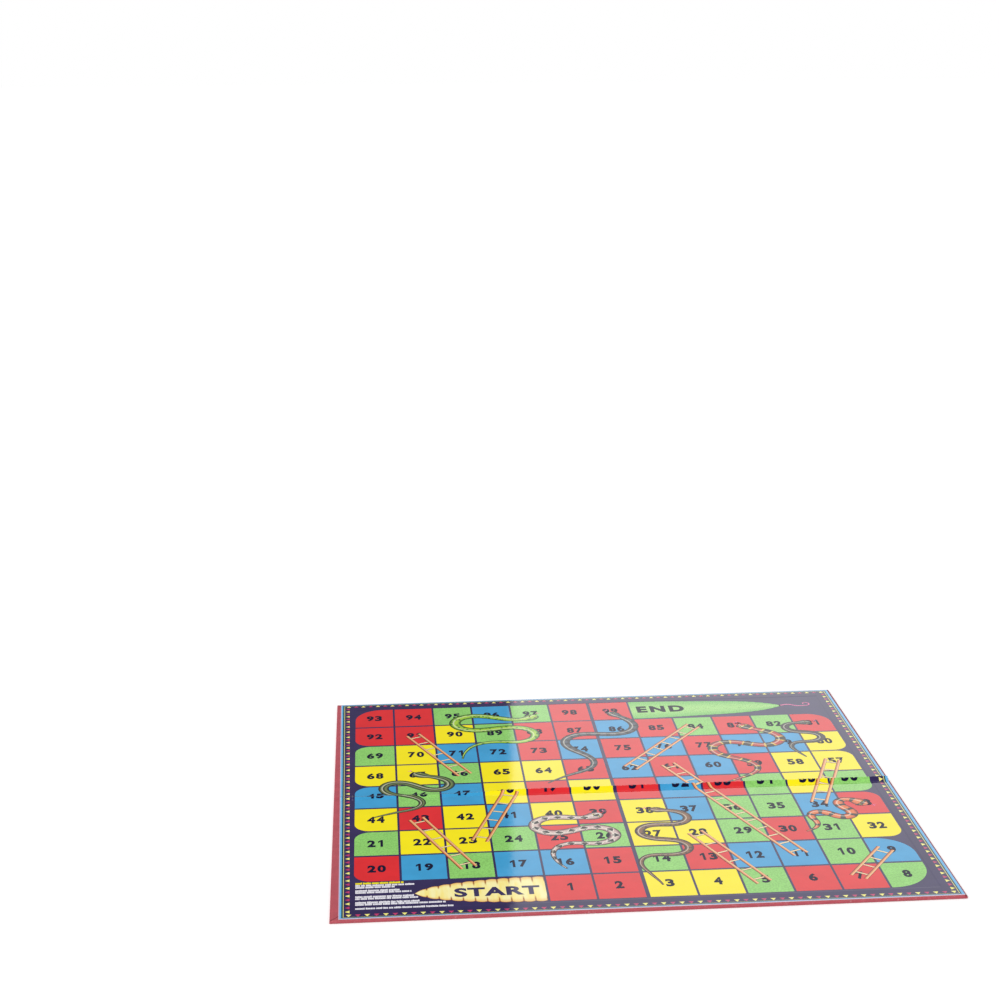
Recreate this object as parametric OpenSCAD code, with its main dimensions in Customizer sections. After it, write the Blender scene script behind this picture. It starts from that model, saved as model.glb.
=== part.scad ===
// Folding board for snakes and ladders, lying open and flat. Millimetres, Z up.
// Two greyboard panels lie side by side across a narrow gap. A wrap sheet covers the underside, bridges
// the gap as the spine and is turned in over the outer edges. A printed face sheet covers the top, laps
// over the turn-ins and crosses the gap as a raised crease, left by its fold. The back panel folds over
// onto the front one, face to face.
// Origin: middle of the underside. X runs along the crease, Y from the front edge to the back edge.

/* [Board] */
// Width along the crease
board_w = 474; // [300:1:600]
// Depth of the open board, over both panels
board_d = 424; // [280:1:600]
// Thickness of the greyboard panels
greyboard_t = 1.9; // [1.4:0.1:4]

/* [Wrap sheet] */
// Thickness of the wrap paper
wrap_t = 0.2; // [0.1:0.05:0.3]
// Width of the strip turned in over the top, with its hidden part
turn_in_w = 15; // [10:1:25]
// Outer rounding of the wrapped edges
edge_r = 0.6; // [0.4:0.05:0.8]
// Width of the mitred seam where two turn-ins meet
seam_w = 0.5; // [0.3:0.1:1]

/* [Face sheet] */
// Thickness of the printed and laminated face sheet
face_t = 0.2; // [0.1:0.05:0.3]
// Turn-in left showing at the left end of the front edge, where the face sheet lies a little askew
show_left_front = 6.5; // [1:0.1:8]
// Turn-in left showing at the left end of the back edge
show_left_back = 3.5; // [1:0.1:8]
// Turn-in left showing at the right end of the front edge
show_right_front = 1.3; // [1:0.1:8]
// Turn-in left showing at the right end of the back edge
show_right_back = 1.9; // [1:0.1:8]
// Turn-in left showing along the front edge
show_front = 1.8; // [1:0.1:8]
// Turn-in left showing along the back edge
show_back = 1.4; // [1:0.1:8]
// Width of the slope where the face sheet climbs onto the turn-ins
climb_w = 1.2; // [0.5:0.1:2]

/* [Fold] */
// Air between the two faces when the board is folded shut
fold_gap = 0.6; // [0.3:0.1:2]
// Slack of the spine round the folded panels
spine_ease = 0.4; // [0.2:0.1:2]
// Height of the raised crease over the face
crease_h = 3.2; // [1:0.1:5]
// Landing of the crease on each panel
crease_land = 1.5; // [0.5:0.1:3]
// Height of the gutter that the spine forms under the gap
gutter_h = 0.5; // [0.2:0.1:1]
// Inside radius of the folds in the paper
fold_r = 0.25; // [0.15:0.05:0.5]

/* [Hidden] */
$fn = 48;

// Number of straight steps across a folded paper strip
strip_steps = 24;
// Width of the steps at the crest, as a share of the mean step
crest_step = 0.3;
// Steps across the strip as shares of its half width, from foot to foot
strip_shares = [
    for (i = [0 : strip_steps]) let (t = 2 * i / strip_steps - 1)
    t * (crest_step + (1 - crest_step) * abs(t))
];
// Power that flattens the flanks of a fold towards its feet
flank = 1.5;
// Overrun of every cut past the faces that it opens
overrun = 1;

half_w = board_w / 2;
half_d = board_d / 2;
// Top of the greyboard
deck_z = wrap_t + greyboard_t;
// Top of the turn-ins
rim_z = deck_z + wrap_t;
// Top of the face sheet where it lies on the turn-ins
top_z = rim_z + face_t;
// Axis of the fold, half the closed gap above the face
hinge_z = top_z + fold_gap / 2;
// Gap between the panels: the spine goes round both of them when the board is shut
hinge_gap = 2 * hinge_z + spine_ease;
half_gap = hinge_gap / 2;
half_crease = half_gap + crease_land;
// Turn-in left showing beside the crease
show_left_mid = (show_left_front + show_left_back) / 2;
show_right_mid = (show_right_front + show_right_back) / 2;
// Dip of the turned-in strip over the gap, down onto the gutter
dip_h = rim_z - gutter_h - 1.5 * wrap_t;

greyboard_grey = "#9c9488";
wrap_red = "#b4525c";
spine_red = "#a84954";
print_navy = "#332a55";
crease_navy = "#3f3568";

// Bar with four rounded corners, centred on X and standing on zero
module rounded_bar(length, height, r) {
    translate([-length / 2 + r, 0]) square([length - 2 * r, height]);
    translate([-length / 2, r]) square([length, height - 2 * r]);
    for (x = [-length / 2 + r, length / 2 - r], z = [r, height - r]) translate([x, z]) circle(r);
}

// Runs a profile drawn across the board along the whole depth
module along_depth() {
    rotate([90, 0, 0]) linear_extrude(board_d, center = true) children();
}

// Runs a profile drawn along the depth across a stretch of the width
module along_width(x_from, x_to) {
    translate([x_from, 0, 0]) rotate([90, 0, 90]) linear_extrude(x_to - x_from) children();
}

// Front panel with rounded outer edges, set in from the board's outline and cut square at the crease
module panel_form(inset, height, r, y_to) {
    translate([0, 0, inset]) intersection() {
        along_depth() rounded_bar(board_w - 2 * inset, height, r);
        along_width(-half_w, half_w) rounded_bar(board_d - 2 * inset, height, r);
        translate([-half_w, -half_d, 0]) cube([board_w, half_d + y_to, height]);
    }
}

module greyboard_panel() {
    panel_form(wrap_t, greyboard_t, edge_r - wrap_t, -half_gap);
}

// Slot along the mitre of one front corner, half as deep as the turn-in is thick
module corner_seam(side) {
    translate([side * half_w, -half_d, rim_z - wrap_t / 2])
        rotate([0, 0, side > 0 ? 135 : 45])
            translate([0, -seam_w / 2, 0]) cube([turn_in_w * sqrt(2) + overrun, seam_w, wrap_t]);
}

// Paper round the front panel: underside, three edges and the strips turned in over the top
module wrap_panel() {
    difference() {
        panel_form(0, rim_z, edge_r, -half_gap);
        panel_form(wrap_t, greyboard_t, edge_r - wrap_t, 0);
        translate([-half_w + turn_in_w, -half_d + turn_in_w, deck_z])
            cube([board_w - 2 * turn_in_w, half_d, wrap_t + overrun]);
        for (side = [-1, 1]) corner_seam(side);
    }
}

// Trapezoid that opens upwards from the low middle of the face sheet to the level of its rim
module dip_profile(half_length) {
    half_low = half_length - turn_in_w - climb_w;
    half_high = half_low + climb_w * (wrap_t + overrun) / wrap_t;
    polygon([
        [-half_low, top_z - wrap_t], [half_low, top_z - wrap_t],
        [half_high, top_z + overrun], [-half_high, top_z + overrun]
    ]);
}

// Printed sheet of the front panel, low on the greyboard and one paper higher on the turn-ins
module face_panel(show_end, show_left_end, show_right_end) {
    difference() {
        translate([0, 0, deck_z]) linear_extrude(top_z - deck_z) polygon([
            [-half_w + show_left_end, -half_d + show_end], [half_w - show_right_end, -half_d + show_end],
            [half_w - show_right_mid, -half_crease], [-half_w + show_left_mid, -half_crease]
        ]);
        intersection() {
            along_depth() dip_profile(half_w);
            along_width(-half_w, half_w) dip_profile(half_d);
        }
        difference() {
            translate([-board_w, -board_d, deck_z - overrun])
                cube([2 * board_w, board_d, wrap_t + overrun]);
            translate([-half_w + turn_in_w, -half_d + turn_in_w, 0])
                cube([board_w - 2 * turn_in_w, board_d, rim_z + overrun]);
        }
    }
}

// Rounding of a fold's crest, as a share of the half width
function blunt_of(rise, half, thickness) = min(0.5, flank * rise * (fold_r + thickness) / pow(half, 2));
// Distance from the fold as a share of the half width, never less than the rounding
function reach_at(share, blunt) = sqrt(pow(blunt, 2) + (1 - pow(blunt, 2)) * pow(share, 2));
// Rise of a folded strip at a share of its half width: nothing at its feet, all of it at the crest
function rise_at(share, rise, blunt) = rise * pow((1 - reach_at(share, blunt)) / (1 - blunt), flank);
// Slope of the strip there
function slope_at(share, rise, half, blunt) =
    let (reach = reach_at(share, blunt), fall = pow((1 - reach) / (1 - blunt), flank - 1))
    -flank * rise / half * fall * (1 + blunt) * share / reach;
// Point on the strip, a depth below its upper surface and square to it
function strip_point(share, rise, half, blunt, depth) =
    let (slope = slope_at(share, rise, half, blunt), unit = sqrt(1 + slope * slope))
    [half * share + slope / unit * depth, rise_at(share, rise, blunt) - depth / unit];

// Cross-section of a folded paper strip, its feet lying on zero
module strip_profile(half, rise, thickness) {
    blunt = blunt_of(rise, half, thickness);
    translate([0, thickness]) polygon(concat(
        [for (share = strip_shares) strip_point(share, rise, half, blunt, 0)],
        [for (i = [strip_steps : -1 : 0]) strip_point(strip_shares[i], rise, half, blunt, thickness)]
    ));
}

// Outline from the gutter's underside up to the turned-in strip's upper side
module spine_end_profile() {
    low = blunt_of(gutter_h, half_gap, wrap_t);
    high = blunt_of(dip_h, half_gap, wrap_t);
    polygon(concat(
        [for (share = strip_shares) strip_point(share, gutter_h, half_gap, low, wrap_t) + [0, wrap_t]],
        [
            for (i = [strip_steps : -1 : 0])
            let (point = strip_point(strip_shares[i], dip_h, half_gap, high, wrap_t))
            [point[0], rim_z - wrap_t - point[1]]
        ]
    ));
}

// Paper under the gap. At both ends it is turned in over the top, where the strip dips into the gap
module spine_strip() {
    along_width(-half_w, half_w) strip_profile(half_gap, gutter_h, wrap_t);
    for (x = [-half_w, half_w - turn_in_w])
        along_width(x, x + turn_in_w)
            translate([0, rim_z]) mirror([0, 1]) strip_profile(half_gap, dip_h, wrap_t);
    for (x = [-half_w, half_w - wrap_t]) along_width(x, x + wrap_t) spine_end_profile();
}

// Printed sheet over the gap: the raised crease, one paper higher where it lies on the turn-ins
module crease_strip() {
    translate([0, 0, deck_z])
        along_width(-half_w + turn_in_w, half_w - turn_in_w) strip_profile(half_crease, crease_h, face_t);
    translate([0, 0, deck_z])
        for (x = [-half_w + turn_in_w, half_w - turn_in_w - climb_w])
            along_width(x, x + climb_w) strip_profile(half_crease, crease_h, wrap_t + face_t);
    translate([0, 0, rim_z]) {
        along_width(-half_w + show_left_mid, -half_w + turn_in_w)
            strip_profile(half_crease, crease_h, face_t);
        along_width(half_w - turn_in_w, half_w - show_right_mid)
            strip_profile(half_crease, crease_h, face_t);
    }
}

module greyboard_front() {
    color(greyboard_grey) greyboard_panel();
}

module greyboard_back() {
    color(greyboard_grey) mirror([0, 1, 0]) greyboard_panel();
}

module wrap_front() {
    color(wrap_red) wrap_panel();
}

module wrap_back() {
    color(wrap_red) mirror([0, 1, 0]) wrap_panel();
}

module wrap_spine() {
    color(spine_red) spine_strip();
}

module face_front() {
    color(print_navy) face_panel(show_front, show_left_front, show_right_front);
}

module face_back() {
    color(print_navy) mirror([0, 1, 0]) face_panel(show_back, show_left_back, show_right_back);
}

module face_crease() {
    color(crease_navy) crease_strip();
}

greyboard_front();
greyboard_back();
wrap_front();
wrap_back();
wrap_spine();
face_front();
face_back();
face_crease();
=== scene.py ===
"""Folding board for snakes and ladders: print, wrap and paper hinge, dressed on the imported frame."""

import math
import random

import bmesh
import bpy
import numpy as np
from mathutils import Euler, Matrix, Vector


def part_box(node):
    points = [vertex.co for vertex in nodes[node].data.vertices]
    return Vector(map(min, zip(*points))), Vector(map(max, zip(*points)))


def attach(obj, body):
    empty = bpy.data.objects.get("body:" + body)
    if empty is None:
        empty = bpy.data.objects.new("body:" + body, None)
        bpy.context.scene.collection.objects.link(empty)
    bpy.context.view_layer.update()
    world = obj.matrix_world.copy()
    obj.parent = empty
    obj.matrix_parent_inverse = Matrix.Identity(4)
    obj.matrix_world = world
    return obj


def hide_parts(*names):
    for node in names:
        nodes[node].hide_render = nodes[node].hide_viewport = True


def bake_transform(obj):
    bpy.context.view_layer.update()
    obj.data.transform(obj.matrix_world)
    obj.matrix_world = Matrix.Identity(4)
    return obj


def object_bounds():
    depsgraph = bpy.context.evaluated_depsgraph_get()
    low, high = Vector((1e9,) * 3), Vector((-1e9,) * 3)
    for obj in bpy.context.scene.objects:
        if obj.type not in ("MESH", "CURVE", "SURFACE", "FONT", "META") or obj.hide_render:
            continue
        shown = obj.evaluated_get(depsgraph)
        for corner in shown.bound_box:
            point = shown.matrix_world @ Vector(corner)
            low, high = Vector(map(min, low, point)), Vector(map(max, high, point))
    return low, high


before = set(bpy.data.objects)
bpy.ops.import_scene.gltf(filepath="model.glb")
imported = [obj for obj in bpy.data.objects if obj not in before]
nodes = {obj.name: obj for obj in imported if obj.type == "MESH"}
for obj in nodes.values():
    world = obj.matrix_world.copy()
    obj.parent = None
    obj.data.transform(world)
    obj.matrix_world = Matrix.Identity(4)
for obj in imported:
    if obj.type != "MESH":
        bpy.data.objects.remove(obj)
cad_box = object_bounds()

# Sizes of the board, in millimetres
MM = 0.001


def top_corner(box):
    """Highest corner of a box of the frame, in millimetres."""
    return [round(v / MM, 3) for v in box[1]]


HALF_W, HALF_D, _ = top_corner(cad_box)
_, HALF_GAP, RIM_Z = top_corner(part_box("wrap_spine"))    # gap between the panels, top of the turn-ins
_, HALF_CREASE, _ = top_corner(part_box("face_crease"))
PAPER_T = 0.2
LOW_Z = round(top_corner(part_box("greyboard_front"))[2] + PAPER_T, 3)   # print on the greyboard
RIM_RISE, CLIMB = 0.2, 1.2             # climb of the face sheet onto the turn-ins, and its width
TURN_IN = 15.0
GUTTER_H, DIP_H = 0.5, 1.5             # of the spine, and how far the turn-ins dip into the gap
CREASE_H, CREST_R = 3.1, 0.44          # raised crease, and the radius that its fold can have
FLANK = 1.5                            # above 1, the flanks of a fold run out into the flat paper
RIDGE_X, LOW_RIDGE = (-132.0, -76.0), 0.3   # where the crease rises along its length, and its low share
SHOW_FRONT, SHOW_BACK = 1.8, 1.4       # turn-in that shows round the face sheet
SHOW_LEFT, SHOW_RIGHT = (6.5, 3.5), (1.3, 1.9)   # at the front and at the back: the sheet lies askew
STEP = 0.014                           # one layer of ink

# Sizes of the print, in millimetres
CELL_W, CELL_D = 36.5, 43.8
COLUMNS, ROWS = 12, 9
MID_GAP, MID_LINE = 2.9, 3.1           # the columns stand apart in the middle, with navy between
CELLS_X0, CELLS_Y0 = -220.3, -197.1    # lower left corner of the grid
GRID_LINE, ROW_LINE = 1.8, 2.3         # navy left between the columns, and between the rows
ROW1_RISE = 3.0                        # the first row starts that much higher
SCALLOPS, START_LENGTH = 11, 98.5      # of the start banner


# The face sheet and where it lies
def hump(y, height=CREASE_H, half=HALF_CREASE, crest=CREST_R):
    """Height of a folded strip: a rounded crest with flanks that flatten towards the feet."""
    share = np.clip(np.abs(y) / half, 0, 1)
    round_off = height * FLANK * crest / half ** 2
    reach = np.sqrt(round_off ** 2 + (1 - round_off ** 2) * share ** 2)
    return height * ((1 - reach) / (1 - round_off)) ** FLANK


def hump_slope(y):
    d = 0.002
    return (hump(y + d) - hump(y - d)) / (2 * d)


def ridge(x):
    """Share of its height that the crease has: it is pressed nearly flat on the left."""
    t = np.clip((np.asarray(x, float) - RIDGE_X[0]) / (RIDGE_X[1] - RIDGE_X[0]), 0, 1)
    return LOW_RIDGE + (1 - LOW_RIDGE) * t * t * (3 - 2 * t)


ARC_Y = np.linspace(0, HALF_CREASE, 800)     # depths on a flank, and the paper's length up to each
ARC_S = np.concatenate([[0], np.cumsum(np.hypot(np.diff(ARC_Y), np.diff(hump(ARC_Y))))])
HALF_ARC = float(ARC_S[-1])
EXTRA = HALF_ARC - HALF_CREASE


def sheet_s(y):
    """Sheet coordinate of a depth on the board. Print is drawn on the flat sheet, by x and by s along the
    paper, which is longer than the board is deep because it goes over the crease."""
    y = np.asarray(y, float)
    near = np.interp(np.abs(y), ARC_Y, ARC_S)
    return np.sign(y) * np.where(np.abs(y) > HALF_CREASE, np.abs(y) + EXTRA, near)


def grid_s(depth):
    """Sheet coordinate of a depth counted from the front of the grid."""
    return float(sheet_s(CELLS_Y0 + depth))


def board_y(s):
    """Depth on the board of a sheet coordinate."""
    s = np.asarray(s, float)
    near = np.interp(np.abs(s), ARC_S, ARC_Y)
    return np.sign(s) * np.where(np.abs(s) > HALF_ARC, np.abs(s) - EXTRA, near)


def surface(x, s, lift):
    """Points of the face sheet's upper side, lifted square to the paper."""
    y = board_y(s)
    over_x = (np.abs(x) - (HALF_W - TURN_IN - CLIMB)) / CLIMB
    over_y = (np.abs(y) - (HALF_D - TURN_IN - CLIMB)) / CLIMB
    base = LOW_Z + RIM_RISE * np.clip(np.maximum(over_x, over_y), 0, 1)
    share = ridge(x)
    slope = np.where(np.abs(y) < HALF_CREASE, hump_slope(y), 0) * share
    unit = np.sqrt(1 + slope * slope)
    return np.stack([x, y - slope / unit * lift, base + hump(y) * share + lift / unit], axis=1)


def askew(x, s):
    """Shift of the printed border at a sheet point, after its place along the front edge."""
    depths = [-HALF_D + SHOW_FRONT, -HALF_CREASE, HALF_CREASE, HALF_D - SHOW_BACK]
    share = np.interp(board_y(s), depths, [0, 0.5, 0.5, 1])
    left, right = SHOW_LEFT[1] - SHOW_LEFT[0], SHOW_RIGHT[0] - SHOW_RIGHT[1]
    return float(share * np.interp(x, [-HALF_W, HALF_W], [left, right]))


def cell_point(place):
    """Sheet point of a place counted in squares from the lower left corner of the grid."""
    column, row = place
    past_middle = float(np.clip((column - 6) * 4 + 0.5, 0, 1))
    return np.array([CELLS_X0 + CELL_W * column + MID_GAP * past_middle, grid_s(CELL_D * row)])


# Films of ink
SLICES = 44
SLICE_AT = np.linspace(-1, 1, SLICES + 1)
FOLD_LINES = HALF_CREASE * SLICE_AT * (0.3 + 0.7 * np.abs(SLICE_AT))     # closer together at the crest
CUTS_S = sorted(
    [float(v) for v in sheet_s(FOLD_LINES)]
    + [sign * (HALF_D - TURN_IN - back + EXTRA) for sign in (-1, 1) for back in (0, CLIMB)]
)
CUTS_X = [sign * (HALF_W - TURN_IN - back) for sign in (-1, 1) for back in (0, CLIMB)]
RIDGE_CUTS = list(np.linspace(RIDGE_X[0], RIDGE_X[1], 9))


def new_flat():
    """Empty flat print."""
    bm = bmesh.new()
    bm.verts.layers.float_vector.new("skin")
    return bm


def add_shape(bm, points, faces, ink, skin=None):
    """Flat shape on the sheet; skin holds its own coordinates for the shader."""
    layer = bm.verts.layers.float_vector["skin"]
    made = []
    for i, (x, s) in enumerate(points):
        v = bm.verts.new((float(x), float(s), 0))
        v[layer] = Vector(skin[i]) if skin is not None else Vector((float(x), float(s), 0))
        made.append(v)
    for face in faces:
        f = bm.faces.new([made[i] for i in face])
        f.material_index = ink


def add_outline(bm, loop, ink):
    add_shape(bm, loop, [list(range(len(loop)))], ink)


def cut_flat(bm):
    """Even winding, small faces, and an edge along every line where the sheet bends."""
    bm.normal_update()
    bmesh.ops.triangulate(bm, faces=[f for f in bm.faces if len(f.verts) > 4])
    bm.normal_update()
    bmesh.ops.reverse_faces(bm, faces=[f for f in bm.faces if f.normal.z < 0])
    cuts = [(s, 1, False) for s in CUTS_S] + [(x, 0, False) for x in CUTS_X]
    cuts += [(x, 0, True) for x in RIDGE_CUTS]
    for place, axis, on_crease in cuts:
        co, no = Vector((0, 0, 0)), Vector((0, 0, 0))
        co[axis], no[axis] = place, 1
        faces = [f for f in bm.faces if not on_crease or abs(f.calc_center_median().y) < HALF_ARC]
        edges = list({e for f in faces for e in f.edges})
        if any((e.verts[0].co[axis] - place) * (e.verts[1].co[axis] - place) < 0 for e in edges):
            geom = list({v for f in faces for v in f.verts}) + edges + faces
            bmesh.ops.bisect_plane(bm, geom=geom, dist=1e-5, plane_co=co, plane_no=no)


def closed_film(name, faces, layer, levels, low_lift):
    """Mesh of some faces of a flat print: their upper side, a lower side and the walls between."""
    verts = sorted({v for f in faces for v in f.verts}, key=lambda v: v.index)
    where = {v: i for i, v in enumerate(verts)}
    count = len(verts)
    x, s = np.array([v.co[:2] for v in verts], float).T
    skin = np.array([v[layer][:] for v in verts], np.float32)
    lift = np.array([levels[v.link_faces[0].material_index] for v in verts], float) * STEP
    points = np.vstack([surface(x, s, lift), surface(x, s, low_lift)])
    rows = [[where[v] for v in f.verts] for f in faces]
    inks = [f.material_index for f in faces]
    sides = {}
    for row, ink in zip(rows, inks):
        for a, b in zip(row, row[1:] + row[:1]):
            if sides.pop((b, a), None) is None:
                sides[(a, b)] = ink
    rows += [[i + count for i in reversed(row)] for row in rows]
    rows += [[b, a, a + count, b + count] for a, b in sides]
    mesh = bpy.data.meshes.new(name)
    mesh.from_pydata((points * MM).tolist(), [], rows)
    kept = mesh.attributes.new("skin", "FLOAT_VECTOR", "POINT")
    kept.data.foreach_set("vector", np.vstack([skin, skin]).ravel())
    mesh.polygons.foreach_set("material_index", inks + inks + list(sides.values()))
    mesh.update()
    return mesh


def section_of(s):
    return "front" if s < -HALF_ARC else "back" if s > HALF_ARC else "crease"


def add_object(name, mesh):
    piece = bpy.data.objects.new(name, mesh)
    bpy.context.scene.collection.objects.link(piece)
    return piece


def place_piece(piece, section):
    if section == "crease":
        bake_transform(piece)
    else:
        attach(piece, section + "_panel")


def film(name, bm, inks, levels, low_lift=0.0):
    """Closed films of ink on the sheet, one piece for each stretch of the board."""
    cut_flat(bm)
    bm.verts.index_update()
    layer = bm.verts.layers.float_vector["skin"]
    by_section, made = {"front": [], "crease": [], "back": []}, {}
    for f in bm.faces:
        by_section[section_of(f.calc_center_median().y)].append(f)
    for section, faces in by_section.items():
        if faces:
            mesh = closed_film(f"{name}_{section}", faces, layer, levels, low_lift)
            for material in inks:
                mesh.materials.append(material)
            made[section] = add_object(mesh.name, mesh)
            place_piece(made[section], section)
    bm.free()
    return made


# Materials
class Tree:
    """A node tree, with short ways to add nodes to it."""

    def __init__(self, tree):
        self.tree = tree

    def put(self, socket, value):
        if isinstance(value, bpy.types.NodeSocket):
            self.tree.links.new(value, socket)
        elif isinstance(value, tuple) and len(value) == 3 and socket.type == "RGBA":
            socket.default_value = (*value, 1)
        else:
            socket.default_value = value

    def node(self, kind, settings=None, **inputs):
        made = self.tree.nodes.new(kind)
        for key, value in (settings or {}).items():
            setattr(made, key, value)
        for key, value in inputs.items():
            self.put(made.inputs[key], value)
        return made

    def math(self, operation, a, b=0.0, c=0.0):
        made = self.node("ShaderNodeMath", {"operation": operation})
        for socket, value in zip(made.inputs, (a, b, c)):
            self.put(socket, value)
        return made.outputs[0]

    def times(self, a, b):
        return self.math("MULTIPLY", a, b)

    def absolute(self, a):
        return self.math("ABSOLUTE", a)

    def between(self, value, low, high, at_low=0.0, at_high=1.0):
        """Smooth way from at_low, where the value is low, to at_high."""
        ends = {"From Min": low, "From Max": high, "To Min": at_low, "To Max": at_high}
        return self.node("ShaderNodeMapRange", {"interpolation_type": "SMOOTHSTEP"},
                         Value=value, **ends).outputs[0]

    def mix(self, share, a, b, blend="MIX"):
        """Colour a, turned by a share to b or, with MULTIPLY, to a times b."""
        made = self.node("ShaderNodeMix", {"data_type": "RGBA", "blend_type": blend}, Factor=share)
        self.put(made.inputs[6], a)
        self.put(made.inputs[7], b)
        return made.outputs[2]

    def split(self, vector):
        return self.node("ShaderNodeSeparateXYZ", Vector=vector).outputs

    def noise(self, vector, scale, detail=3.0, rough=0.5):
        return self.node("ShaderNodeTexNoise", Vector=vector, Scale=scale, Detail=detail,
                         Roughness=rough).outputs["Fac"]

    def cells(self, vector, scale, feature="DISTANCE_TO_EDGE"):
        return self.node("ShaderNodeTexVoronoi", {"feature": feature},
                         Vector=vector, Scale=scale).outputs["Distance"]

    def seen_by(self, *rays):
        """1 to the named kinds of ray, 0 to the others."""
        path = self.node("ShaderNodeLightPath")
        share = path.outputs[rays[0]]
        for ray in rays[1:]:
            share = self.math("MAXIMUM", share, path.outputs[ray])
        return share


class Shade(Tree):
    """A material around one Principled BSDF."""

    def __init__(self, name, rough=0.12, ior=1.5):
        self.mat = bpy.data.materials.new(name)
        self.mat.use_nodes = True
        super().__init__(self.mat.node_tree)
        self.bsdf = self.tree.nodes["Principled BSDF"]
        self.put(self.bsdf.inputs["Roughness"], rough)
        self.put(self.bsdf.inputs["IOR"], ior)

    def place(self):
        return self.node("ShaderNodeTexCoord").outputs["Object"]

    def skin(self):
        """Distance along a strip, distance across it, share across, and all three as a vector."""
        vector = self.node("ShaderNodeAttribute", {"attribute_name": "skin"}).outputs["Vector"]
        along, across, share = self.split(vector)
        return along, across, share, vector

    def bump(self, height, strength, distance):
        made = self.node("ShaderNodeBump", Height=height, Strength=strength, Distance=distance)
        self.put(self.bsdf.inputs["Normal"], made.outputs["Normal"])

    def colour(self, value):
        self.put(self.bsdf.inputs["Base Color"], value)
        return self.mat


def srgb(r, g, b):
    return tuple(((v / 255 + 0.055) / 1.055) ** 2.4 if v > 10 else v / 255 / 12.92 for v in (r, g, b))


def scaled(colour, k):
    return tuple(min(1.0, v * k) for v in colour)


def gloss_film(sh):
    """Gloss film over the print: a faint waviness of the surface and a few dull smears."""
    place = sh.place()
    sh.bump(sh.noise(place, 260.0, 2.0), 0.10, 0.00006)
    smear = sh.between(sh.noise(place, 22.0, 4.0), 0.5, 0.8)
    sh.put(sh.bsdf.inputs["Roughness"], sh.math("MULTIPLY_ADD", smear, 0.07, 0.03))
    return place


def cracked(sh, colour):
    """Ink that turns pale in specks along the top of the crease: worn paper showing, and a painted
    highlight on the crest. Shapes in such ink have no skin of their own, so theirs is the sheet point, and
    its second number is 0 at the crest."""
    from_crest = sh.absolute(sh.skin()[1])
    # pale specks near the crest: partly wear, partly a painted highlight on the crest
    wear_and_glint = sh.between(sh.noise(sh.place(), 900.0, 3.0), 0.54, 0.66)
    share = sh.times(sh.between(from_crest, 0.40, 0.05), sh.times(wear_and_glint, 0.55))
    return sh.mix(share, colour, srgb(232, 226, 220))


def ink(name, colour, mottle=0.05, speckle=0.0, crest_wear_and_glint=False, ior=1.5):
    """One printed colour under the gloss film."""
    sh = Shade(name, ior=ior)
    place = gloss_film(sh)
    tint = sh.mix(sh.between(sh.noise(place, 60.0, 5.0, 0.6), 0.3, 0.7),
                  scaled(colour, 1 - mottle), scaled(colour, 1 + mottle))
    if speckle:
        dots = sh.between(sh.cells(place, 620.0, "F1"), 0.25, 0.75)
        tint = sh.mix(sh.times(dots, speckle), tint, scaled(colour, 0.55))
    return sh.colour(cracked(sh, tint) if crest_wear_and_glint else tint)


def sheet_ink(name, bridged):
    """Navy ground of the printed sheet, its cut edge showing the paper's pale core. Where it is
    bridged, the film hardly dips at the climb onto the turn-ins."""
    navy = srgb(50, 40, 87)
    sh = Shade(name)
    place = gloss_film(sh)
    blotch = sh.between(sh.noise(place, 45.0, 5.0, 0.6), 0.3, 0.7)
    ground = sh.mix(blotch, scaled(navy, 0.86), scaled(navy, 1.12))
    upward = sh.split(sh.node("ShaderNodeTexCoord").outputs["Normal"])[2]
    if bridged:
        level = sh.node("ShaderNodeNormalMap", {"space": "OBJECT"}, Color=(0.5, 0.5, 1.0),
                        Strength=sh.times(sh.between(upward, 0.90, 0.95), 0.8))
        film_bump = sh.bsdf.inputs["Normal"].links[0].from_node
        sh.put(film_bump.inputs["Normal"], level.outputs["Normal"])
    core = sh.mix(sh.noise(place, 2500.0, 2.0), srgb(206, 200, 196), srgb(236, 232, 226))
    return sh.colour(sh.mix(sh.between(upward, 0.25, 0.45), core, ground))


def snake_skin(name, back, side, dark, pattern, period, third=None):
    """Snake skin: rounded shading across, scales, and bands, bars, diamonds, spots or a stripe along."""
    sh = Shade("skin_" + name)
    gloss_film(sh)
    along, aside, share, vector = sh.skin()
    across = sh.absolute(share)
    base = sh.mix(sh.between(across, 0.25, 0.95), back, side)
    ripple = sh.times(sh.math("SUBTRACT", sh.noise(vector, 0.5, 2.0), 0.5), 2.4)
    turn = sh.math("FRACT", sh.math("DIVIDE", sh.math("ADD", along, ripple), period))
    from_mid = sh.times(sh.absolute(sh.math("SUBTRACT", turn, 0.5)), period)
    if pattern == "bands":
        for reach, colour in ((0.25, third), (0.17, dark)):
            base = sh.mix(sh.between(from_mid, period * reach + 0.3, period * reach - 0.3), base, colour)
    elif pattern == "bars":
        base = sh.mix(sh.between(from_mid, 2.0, 1.5), base, dark)
    elif pattern == "diamonds":
        reach = sh.math("ADD", from_mid, sh.absolute(aside))
        base = sh.mix(sh.between(reach, 4.6, 4.1), base, third)
        base = sh.mix(sh.between(reach, 3.7, 3.3), base, dark)
    elif pattern == "spots":
        base = sh.mix(sh.between(sh.cells(vector, 0.28, "F1"), 0.42, 0.30), base, dark)
    elif pattern == "stripe":
        base = sh.mix(sh.between(across, 0.30, 0.20), base, dark)
    seam = sh.times(sh.between(sh.cells(vector, 0.95), 0.16, 0.02), 0.35)
    base = sh.mix(seam, base, scaled(dark, 2.0), "MULTIPLY")
    base = sh.mix(sh.between(across, 0.62, 1.0), base, (0.36, 0.33, 0.38), "MULTIPLY")
    shine = sh.between(sh.absolute(sh.math("ADD", share, 0.32)), 0.26, 0.02)
    return sh.colour(sh.mix(sh.times(shine, 0.46), base, srgb(255, 250, 232)))


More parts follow.
